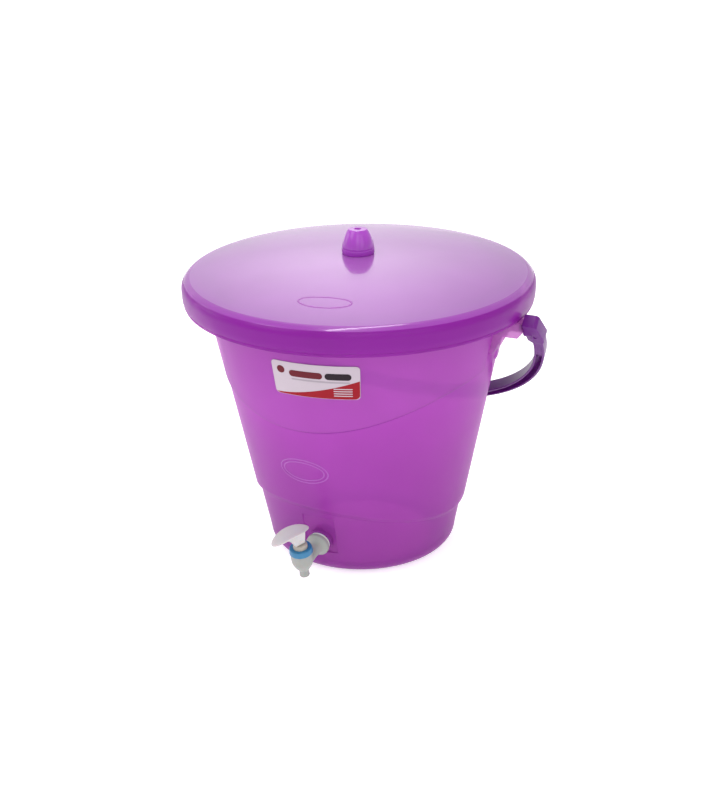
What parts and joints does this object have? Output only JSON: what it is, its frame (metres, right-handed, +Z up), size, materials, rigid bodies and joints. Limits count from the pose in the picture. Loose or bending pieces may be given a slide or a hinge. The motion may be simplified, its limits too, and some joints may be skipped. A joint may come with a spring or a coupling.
{
  "type": "plastic fermenting bucket",
  "caption": "Round tapered plastic bucket with a domed overhanging lid, a centre knob, a swinging bail handle and a push-lever tap low on its wall for drawing off liquid.",
  "frame": {"origin": "centre of the base, in the plane that the foot ring stands on", "axes": "+Z up along the bucket's axis; -Y towards the tap; X along the bail's pivot axis"},
  "size_m": [0.458, 0.417, 0.3958],
  "materials": {
    "violet_plastic": "glossy, translucent",
    "dark_violet_plastic": "glossy",
    "white_plastic": "satin",
    "blue_plastic": "satin",
    "clear_silicone": "matte",
    "stainless_steel": "bright",
    "label_film": "satin printed film"
  },
  "bodies": {
    "bucket": {"bucket": "violet_plastic", "front_label": "label_film", "tap_body": "white_plastic", "tap_outer_gasket": "clear_silicone", "tap_inner_gasket": "clear_silicone", "tap_back_nut": "white_plastic", "tap_bonnet": "white_plastic", "tap_collar": "blue_plastic"},
    "lid": {"lid": "violet_plastic", "lid_knob": "violet_plastic", "knob_screw": "stainless_steel"},
    "bail": {"bail_handle": "dark_violet_plastic"},
    "stem": {"tap_stem": "white_plastic", "tap_valve_plug": "clear_silicone", "tap_stem_oring": "clear_silicone", "tap_spring": "stainless_steel", "tap_lever_pin": "stainless_steel"},
    "lever": {"tap_lever": "white_plastic"}
  },
  "joints": [
    {"name": "lid_lift", "type": "slide", "parent": "bucket", "child": "lid", "axis": [0, 0, 1], "range_m": [0, 0.12]},
    {"name": "bail_swing", "type": "hinge", "parent": "bucket", "child": "bail", "pos_m": [0, 0, 0.3], "axis": [1, 0, 0], "range_deg": [0, 268]},
    {"name": "stem_lift", "type": "slide", "parent": "bucket", "child": "stem", "axis": [0, -0.1942, 0.981], "range_m": [0, 0.004], "deforming": ["tap_spring"]},
    {"name": "lever_press", "type": "hinge", "parent": "stem", "child": "lever", "pos_m": [0, -0.17512, 0.07455], "axis": [0.866, -0.4905, -0.0971], "range_deg": [0, 25], "stiffness_Nm_per_rad": 0.12, "springref_deg": -17.19}
  ],
  "couplings": [
    {"joint": "stem_lift", "follows": "lever_press", "m_per_rad": 0.0089}
  ]
}
